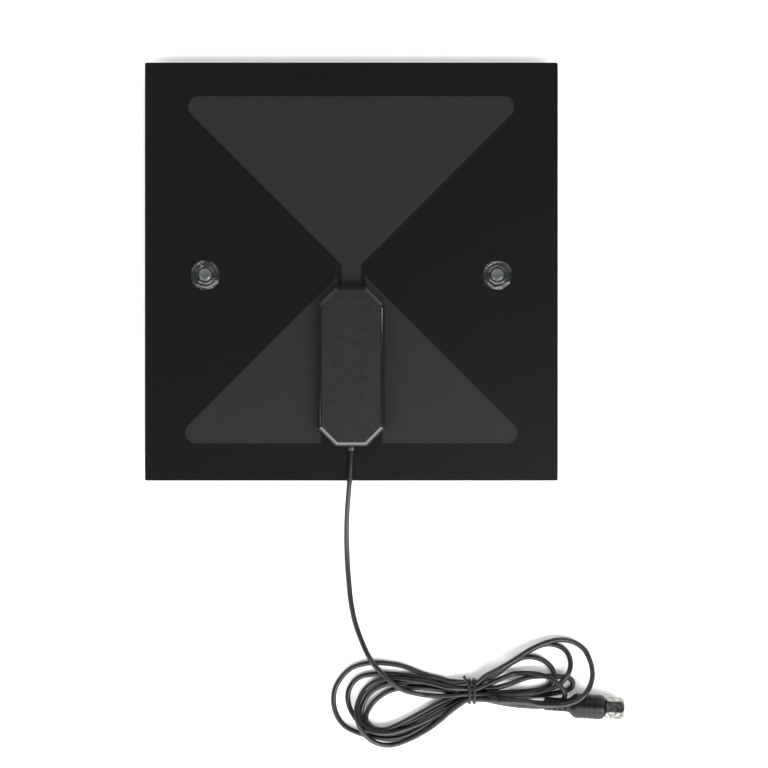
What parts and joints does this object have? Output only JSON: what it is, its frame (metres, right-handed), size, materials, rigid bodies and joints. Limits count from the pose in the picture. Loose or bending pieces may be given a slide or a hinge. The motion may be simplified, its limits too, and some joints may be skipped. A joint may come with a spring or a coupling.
{
  "type": "indoor tv antenna",
  "caption": "Flat indoor television antenna: dark film sheet with bow-tie foil elements, clamped housing, clear suction cups and a tied coaxial lead with a screw-on plug.",
  "frame": {"origin": "centre of the base of the antenna's box without its cable: below the sheet's centre, on the table that the suction cups' rims rest on", "axes": "+Z out of the sheet's front, +Y towards the sheet's top edge, +X to the right seen from the front"},
  "size_m": [0.2786, 0.3995, 0.0157],
  "materials": {
    "smoked_film": "satin smoked film",
    "black_film": "satin",
    "foil": "dark lacquered",
    "housing_plastic": "fine texture with glossy bevel",
    "zinc_steel": "zinc plated",
    "board_laminate": "solder mask",
    "contact_brass": "plated",
    "ferrite": "sintered",
    "copper_wire": "enamelled",
    "ceramic": "matte",
    "tinned_steel": "tinned",
    "cable_pvc": "semi-gloss",
    "tinned_braid": "braided",
    "white_polyethylene": "smooth",
    "clear_pvc": "clear",
    "tie_plastic": "satin",
    "boot_pvc": "semi-gloss",
    "nickel_plate": "nickel plated"
  },
  "bodies": {
    "antenna": {"front_film": "smoked_film", "back_film": "black_film", "upper_element": "foil", "lower_element": "foil", "housing_cover": "housing_plastic", "housing_base": "housing_plastic", "housing_screws": "zinc_steel", "circuit_board": "board_laminate", "foil_contacts": "contact_brass", "balun_core": "ferrite", "balun_winding": "copper_wire", "chip_capacitors": "ceramic", "cable_clamp": "tinned_steel", "coax_jacket_end": "cable_pvc", "coax_braid_end": "tinned_braid", "coax_dielectric_end": "white_polyethylene", "coax_core_end": "copper_wire", "cable_grommet": "cable_pvc", "suction_cup_left": "clear_pvc", "suction_cup_right": "clear_pvc", "coax_lead": "cable_pvc", "coax_hank": "cable_pvc", "coax_tail": "cable_pvc", "twist_tie": "tie_plastic", "plug_boot": "boot_pvc", "plug_sleeve": "nickel_plate", "plug_insulator": "white_polyethylene", "plug_pin": "contact_brass"},
    "nut": {"coupling_nut": "nickel_plate"}
  },
  "joints": [
    {"name": "nut_spin", "type": "hinge", "parent": "antenna", "child": "nut", "pos_m": [0.15221, -0.25372, 0.0072], "axis": [0.9978, -0.0663, 0], "continuous": true}
  ]
}
